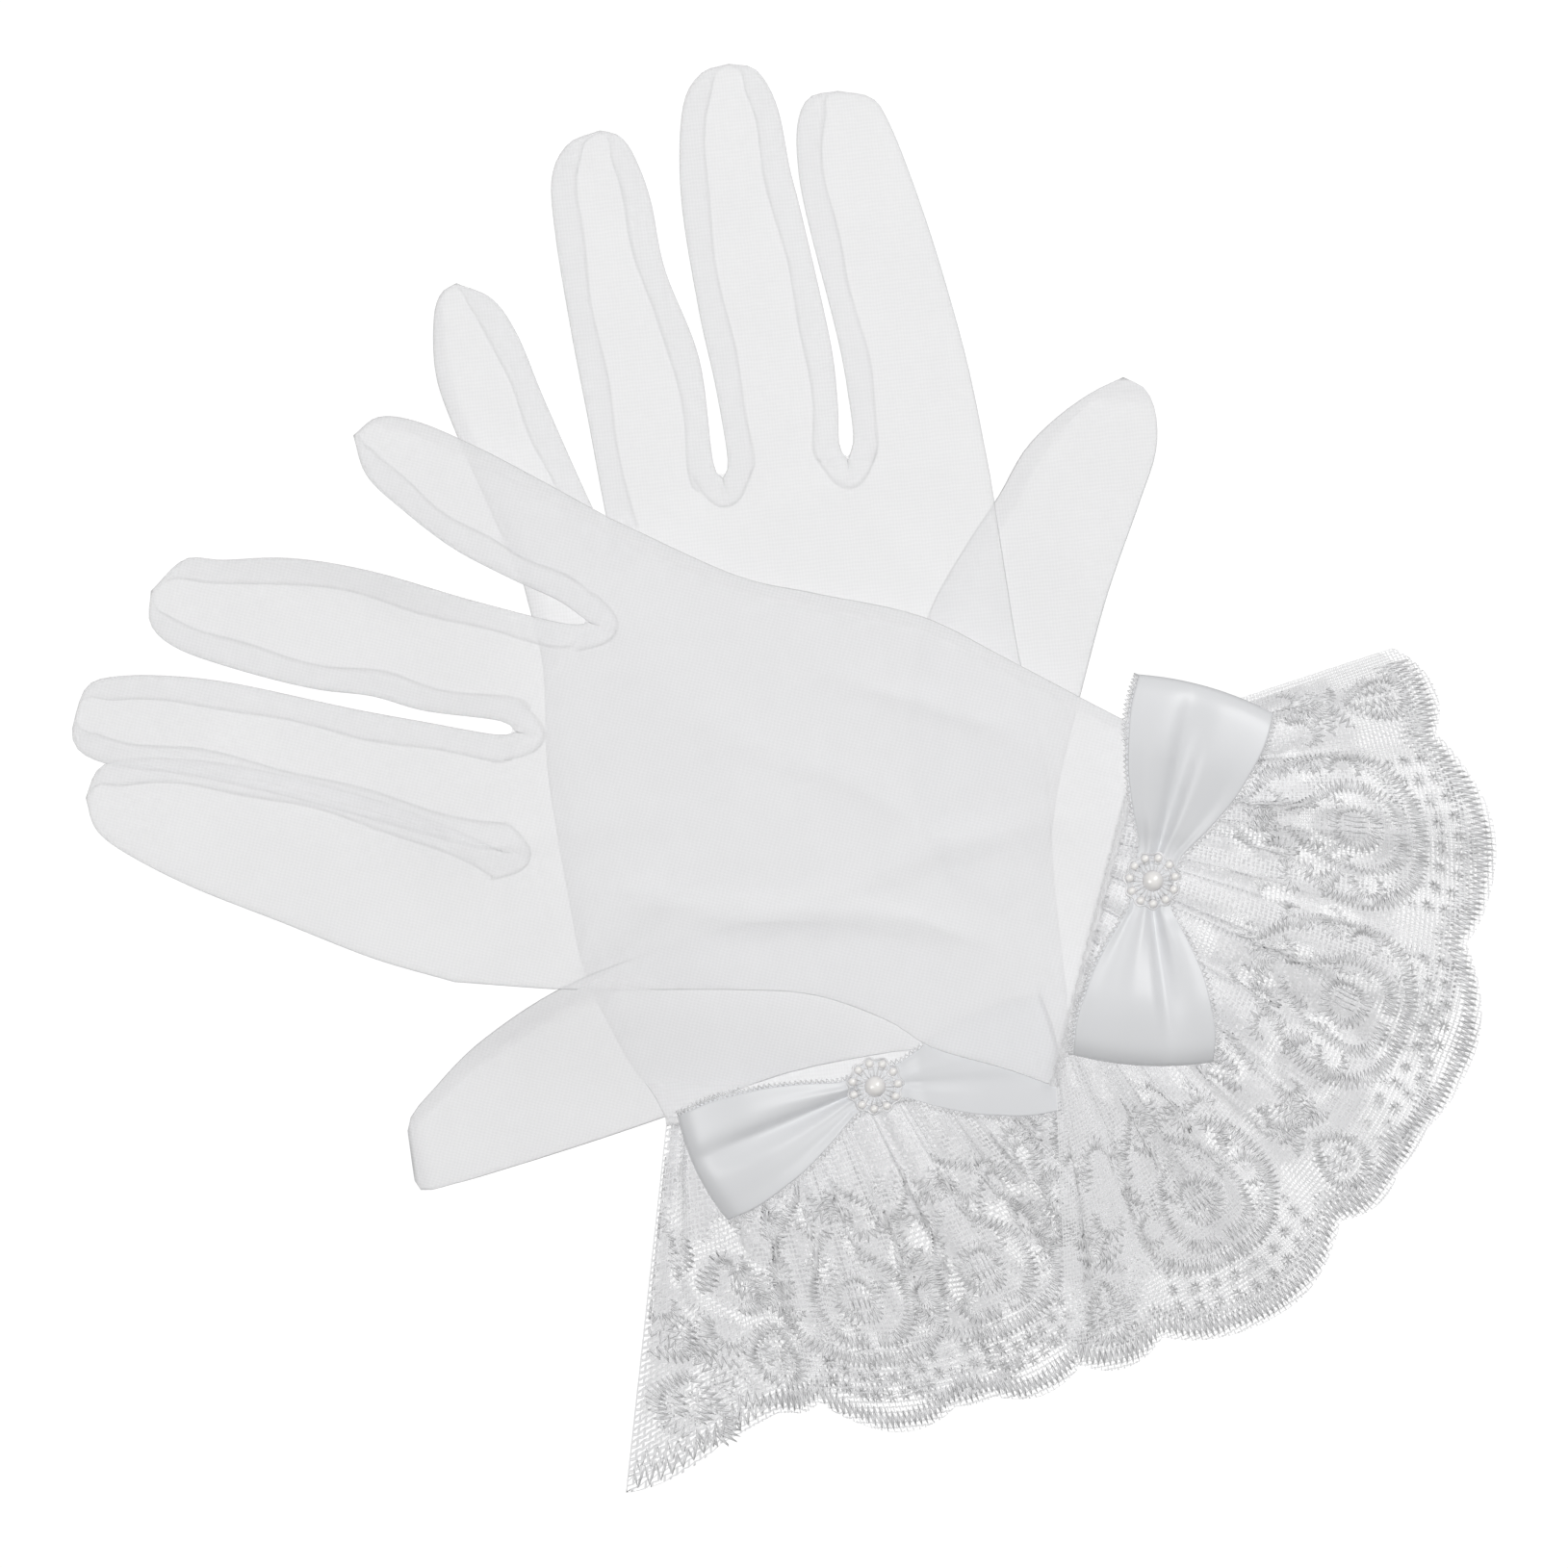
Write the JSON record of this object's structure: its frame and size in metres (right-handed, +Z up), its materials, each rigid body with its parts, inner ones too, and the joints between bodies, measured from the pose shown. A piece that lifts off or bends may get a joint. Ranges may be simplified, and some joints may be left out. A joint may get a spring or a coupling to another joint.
{
  "type": "pair of lace wedding gloves",
  "caption": "Pair of short sheer bridal gloves, one laid across the other, with gathered lace cuffs, satin ribbon bows and pearl clusters.",
  "frame": {"origin": "middle of the pair's bounding box, on the surface it lies on", "axes": "+Z up, the backs of the gloves; +Y roughly along the lower glove's fingers; +X to the cuff of the upper glove"},
  "size_m": [0.262, 0.2626, 0.0149],
  "materials": {
    "sheer_knit": "sheer white nylon knit",
    "lace_net": "white hexagonal nylon net",
    "embroidery": "white rayon satin stitch",
    "satin_ribbon": "white satin ribbon with picot edges",
    "pearl": "pearl lacquer"
  },
  "bodies": {
    "left_glove": {"left_trank": "sheer_knit", "left_fourchette_bends": "sheer_knit", "left_thumb_root": "sheer_knit", "left_wrist_binding": "lace_net", "left_cuff_net": "lace_net", "left_cuff_edging": "embroidery", "left_cuff_medallions": "embroidery", "left_cuff_knots": "embroidery", "left_cuff_leaves": "embroidery", "left_bow_little_loop": "satin_ribbon", "left_bow_thumb_loop": "satin_ribbon", "left_bow_wrap": "satin_ribbon", "left_pearl": "pearl", "left_bead_ring": "pearl", "left_bead_thread": "embroidery"},
    "left_little": {"left_little_stall": "sheer_knit", "left_little_fourchette": "sheer_knit"},
    "left_ring": {"left_ring_stall": "sheer_knit", "left_ring_fourchettes": "sheer_knit"},
    "left_middle": {"left_middle_stall": "sheer_knit", "left_middle_fourchettes": "sheer_knit"},
    "left_index": {"left_index_stall": "sheer_knit", "left_index_fourchette": "sheer_knit"},
    "left_thumb": {"left_thumb_stall": "sheer_knit"},
    "right_glove": {"right_trank": "sheer_knit", "right_fourchette_bends": "sheer_knit", "right_thumb_root": "sheer_knit", "right_wrist_binding": "lace_net", "right_cuff_net": "lace_net", "right_cuff_edging": "embroidery", "right_cuff_medallions": "embroidery", "right_cuff_knots": "embroidery", "right_cuff_leaves": "embroidery", "right_bow_little_loop": "satin_ribbon", "right_bow_thumb_loop": "satin_ribbon", "right_bow_wrap": "satin_ribbon", "right_pearl": "pearl", "right_bead_ring": "pearl", "right_bead_thread": "embroidery"},
    "right_little": {"right_little_stall": "sheer_knit", "right_little_fourchette": "sheer_knit"},
    "right_ring": {"right_ring_stall": "sheer_knit", "right_ring_fourchettes": "sheer_knit"},
    "right_middle": {"right_middle_stall": "sheer_knit", "right_middle_fourchettes": "sheer_knit"},
    "right_index": {"right_index_stall": "sheer_knit", "right_index_fourchette": "sheer_knit"},
    "right_thumb": {"right_thumb_stall": "sheer_knit"}
  },
  "joints": [
    {"name": "right_glove_lift", "type": "slide", "parent": "left_glove", "child": "right_glove", "axis": [0, 0, 1], "range_m": [0, 0.08]},
    {"name": "left_little_fold", "type": "hinge", "parent": "left_glove", "child": "left_little", "pos_m": [-0.05308, 0.06811, 0.0031], "axis": [0.9342, 0.3567, 0], "range_deg": [0, 90]},
    {"name": "left_ring_fold", "type": "hinge", "parent": "left_glove", "child": "left_ring", "pos_m": [-0.02262, 0.0553, 0.0031], "axis": [0.9767, 0.2147, 0], "range_deg": [0, 90]},
    {"name": "left_middle_fold", "type": "hinge", "parent": "left_glove", "child": "left_middle", "pos_m": [-0.00006, 0.05967, 0.0031], "axis": [0.9866, 0.1633, 0], "range_deg": [0, 90]},
    {"name": "left_index_fold", "type": "hinge", "parent": "left_glove", "child": "left_index", "pos_m": [0.02474, 0.0587, 0.0031], "axis": [0.9748, 0.2233, 0], "range_deg": [0, 90]},
    {"name": "left_thumb_fold", "type": "hinge", "parent": "left_glove", "child": "left_thumb", "pos_m": [0.0557, 0.04981, 0.0012], "axis": [0.9232, -0.3843, 0], "range_deg": [0, 90]},
    {"name": "right_little_fold", "type": "hinge", "parent": "right_glove", "child": "right_little", "pos_m": [-0.03586, 0.04006, 0.0069], "axis": [0.4695, 0.8829, 0], "range_deg": [0, 90]},
    {"name": "right_ring_fold", "type": "hinge", "parent": "right_glove", "child": "right_ring", "pos_m": [-0.04814, 0.02084, 0.0069], "axis": [0.1736, 0.9848, 0], "range_deg": [0, 90]},
    {"name": "right_middle_fold", "type": "hinge", "parent": "right_glove", "child": "right_middle", "pos_m": [-0.05425, -0.0008, 0.0069], "axis": [0.1822, 0.9833, 0], "range_deg": [0, 90]},
    {"name": "right_index_fold", "type": "hinge", "parent": "right_glove", "child": "right_index", "pos_m": [-0.05797, -0.02513, 0.0069], "axis": [0.2672, 0.9636, 0], "range_deg": [0, 90]},
    {"name": "right_thumb_fold", "type": "hinge", "parent": "right_glove", "child": "right_thumb", "pos_m": [-0.03703, -0.05316, 0.005], "axis": [-0.454, 0.891, 0], "range_deg": [0, 90]}
  ]
}
